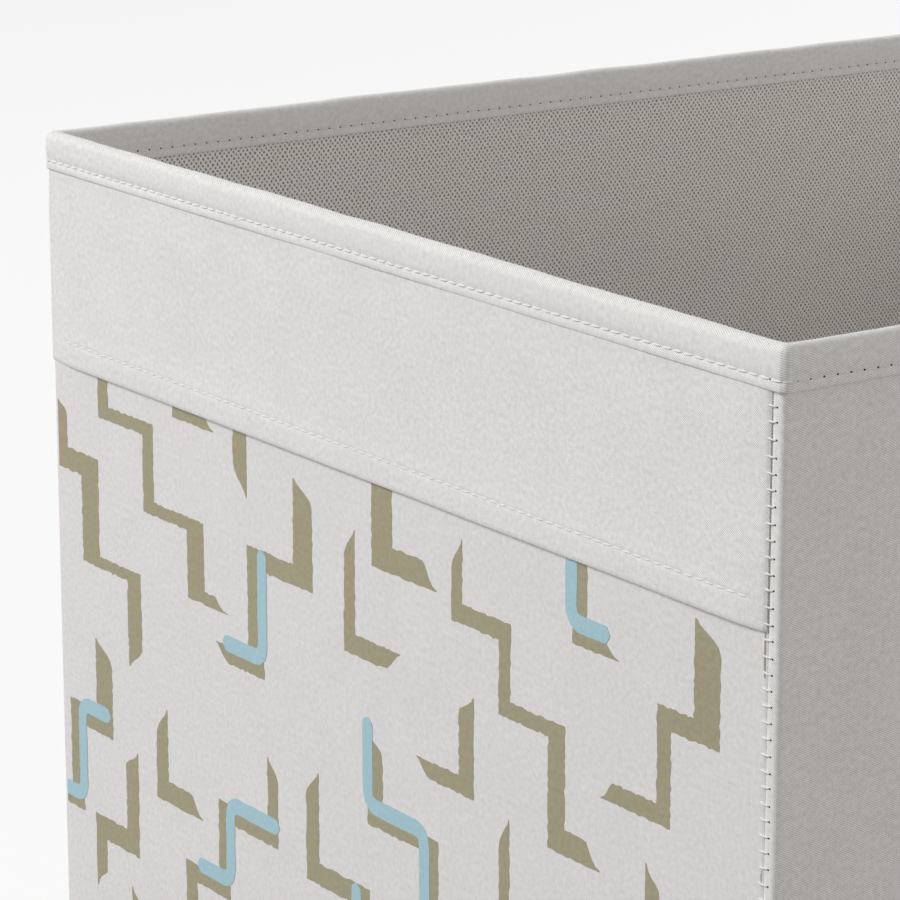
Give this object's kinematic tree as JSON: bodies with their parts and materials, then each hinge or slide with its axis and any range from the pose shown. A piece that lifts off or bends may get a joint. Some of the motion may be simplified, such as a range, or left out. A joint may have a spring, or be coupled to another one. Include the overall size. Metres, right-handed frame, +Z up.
{
  "type": "foldable fabric storage bin",
  "caption": "Open-topped box of stiffened cloth walls with a bound rim, a hand-hold band across each end and a zipped floor, which folds flat.",
  "frame": {"origin": "middle of the footprint, on the surface the bin stands on", "axes": "+Z up, +X to the right as seen from the front, +Y to the rear; the front face is printed"},
  "size_m": [0.33, 0.38, 0.33],
  "materials": {
    "printed_cloth": "matte weave with a printed line pattern",
    "plain_cloth": "matte fine twill, off-white",
    "lining": "matte non-woven with embossed dots",
    "stiffener": "matte grey board",
    "zip_tape": "matte woven tape",
    "zip_coil": "satin monofilament",
    "zip_metal": "plated, satin"
  },
  "bodies": {
    "front_wall": {"front_outer_fabric": "printed_cloth", "front_seam_edge": "plain_cloth", "front_board": "stiffener", "front_lining": "lining", "front_rim_binding": "plain_cloth", "front_zip_tape": "zip_tape", "front_zip_coil": "zip_coil"},
    "front_handle": {"front_handle_band": "plain_cloth"},
    "right_wall": {"right_outer_fabric": "plain_cloth", "right_seam_edge": "plain_cloth", "right_board": "stiffener", "right_lining": "lining", "right_rim_binding": "plain_cloth"},
    "rear_wall": {"rear_outer_fabric": "printed_cloth", "rear_seam_edge": "plain_cloth", "rear_board": "stiffener", "rear_lining": "lining", "rear_rim_binding": "plain_cloth", "rear_zip_tape": "zip_tape", "rear_zip_coil": "zip_coil"},
    "rear_handle": {"rear_handle_band": "plain_cloth"},
    "left_wall": {"left_outer_fabric": "plain_cloth", "left_seam_edge": "plain_cloth", "left_board": "stiffener", "left_lining": "lining", "left_rim_binding": "plain_cloth", "left_zip_tape": "zip_tape", "left_zip_coil": "zip_coil"},
    "base": {"base_outer_fabric": "plain_cloth", "base_board": "stiffener", "base_lining": "lining", "base_zip_tape": "zip_tape", "base_zip_coil": "zip_coil", "zip_start_stop": "zip_metal", "zip_end_stop": "zip_metal"},
    "slider": {"zip_slider": "zip_metal"},
    "pull": {"zip_pull": "zip_metal"}
  },
  "joints": [
    {"name": "fold", "type": "hinge", "parent": "front_wall", "child": "left_wall", "pos_m": [-0.165, -0.1894, 0], "axis": [0, 0, 1], "range_deg": [0, 90], "deforming": ["front_zip_tape", "front_zip_coil", "rear_zip_tape", "rear_zip_coil", "left_zip_tape", "left_zip_coil"]},
    {"name": "fold_right", "type": "hinge", "parent": "front_wall", "child": "right_wall", "pos_m": [0.161, -0.1769, 0], "axis": [0, 0, 1], "range_deg": [0, 90]},
    {"name": "fold_rear", "type": "hinge", "parent": "left_wall", "child": "rear_wall", "pos_m": [-0.161, 0.1769, 0], "axis": [0, 0, 1], "range_deg": [-90, 0]},
    {"name": "base_lift", "type": "hinge", "parent": "right_wall", "child": "base", "pos_m": [0.1598, 0, 0.00515], "axis": [0, 1, 0], "range_deg": [0, 90], "deforming": ["base_zip_tape", "base_zip_coil"]},
    {"name": "front_handle_swing", "type": "hinge", "parent": "front_wall", "child": "front_handle", "pos_m": [0, -0.19, 0.3187], "axis": [-1, 0, 0], "range_deg": [0, 20]},
    {"name": "rear_handle_swing", "type": "hinge", "parent": "rear_wall", "child": "rear_handle", "pos_m": [0, 0.19, 0.3187], "axis": [1, 0, 0], "range_deg": [0, 20]},
    {"name": "zip_slide", "type": "slide", "parent": "base", "child": "slider", "axis": [1, 0, 0], "range_m": [-0.287, 0]},
    {"name": "pull_swing", "type": "hinge", "parent": "slider", "child": "pull", "pos_m": [0.142, 0.1824, 0.00035], "axis": [0, -1, 0], "range_deg": [0, 180]}
  ],
  "couplings": [
    {"joint": "fold_right", "follows": "fold", "ratio": 1},
    {"joint": "fold_rear", "follows": "fold", "ratio": -1}
  ]
}
